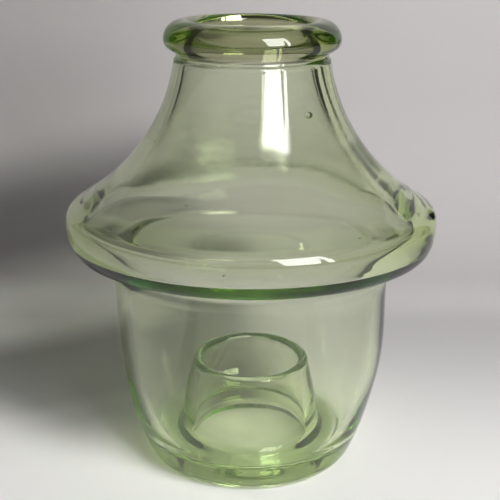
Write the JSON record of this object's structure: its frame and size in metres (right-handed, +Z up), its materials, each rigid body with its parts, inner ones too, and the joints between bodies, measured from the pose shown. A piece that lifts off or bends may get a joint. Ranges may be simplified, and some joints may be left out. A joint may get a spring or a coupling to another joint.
{
  "type": "glass fly trap",
  "caption": "Pale green glass fly trap: rolled lip, bell-shaped hood, overhanging hollow brim and round bowl over an open funnel in the base.",
  "frame": {"origin": "centre of the standing ring, on the table", "axes": "+Z up along the vessel's axis of revolution; X and Y level, and the vessel is round so either may face the viewer"},
  "size_m": [0.15, 0.15, 0.1824],
  "materials": {
    "green_glass": "fire-polished clear glass with a pale green tint"
  },
  "bodies": {
    "root": {"rolled_lip": "green_glass", "hood": "green_glass", "brim": "green_glass", "bowl": "green_glass", "base": "green_glass", "entry_funnel": "green_glass"}
  },
  "joints": []
}
